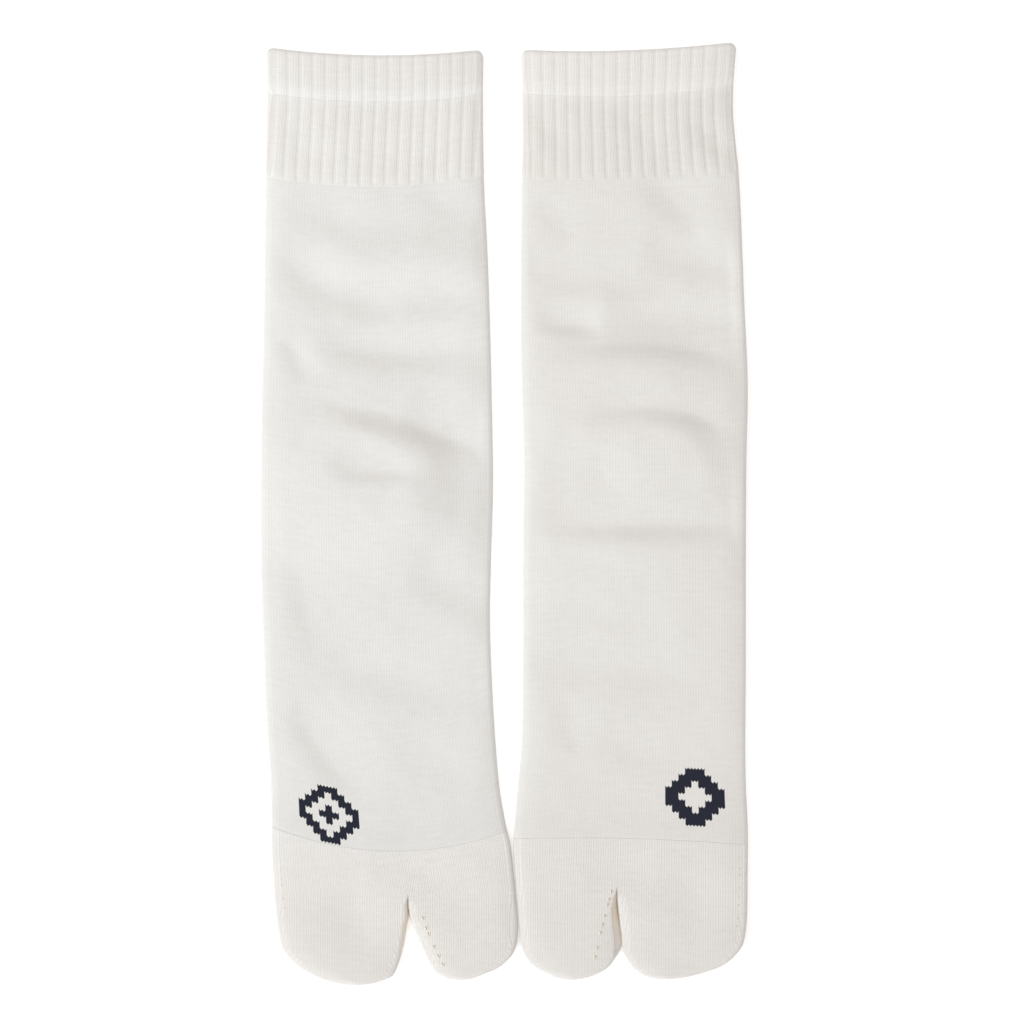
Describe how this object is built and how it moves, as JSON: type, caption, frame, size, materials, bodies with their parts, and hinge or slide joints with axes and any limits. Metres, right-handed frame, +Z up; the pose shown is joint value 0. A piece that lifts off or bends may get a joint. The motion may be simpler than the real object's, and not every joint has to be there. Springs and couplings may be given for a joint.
{
  "type": "pair of tabi socks",
  "caption": "Thick knitted split-toe socks laid flat side by side, with ribbed cuffs, folded heel pockets and a separate pocket for the big toe.",
  "frame": {"origin": "on the surface that the socks lie on, under the middle of the pair's bounding box", "axes": "+Z up out of the surface, through the insteps; +Y from the toes to the cuffs; +X from the right-foot sock to the left-foot sock"},
  "size_m": [0.2047, 0.395, 0.008],
  "materials": {
    "rib_knit": "matte undyed-white rib knit",
    "plain_knit": "matte undyed-white plain knit",
    "pile_knit": "soft matte undyed-white pile knit"
  },
  "bodies": {
    "root": {"right_welt": "rib_knit", "right_rib": "rib_knit", "right_leg": "plain_knit", "right_heel": "plain_knit", "right_toe": "pile_knit", "left_welt": "rib_knit", "left_rib": "rib_knit", "left_leg": "plain_knit", "left_heel": "plain_knit", "left_toe": "pile_knit"}
  },
  "joints": []
}
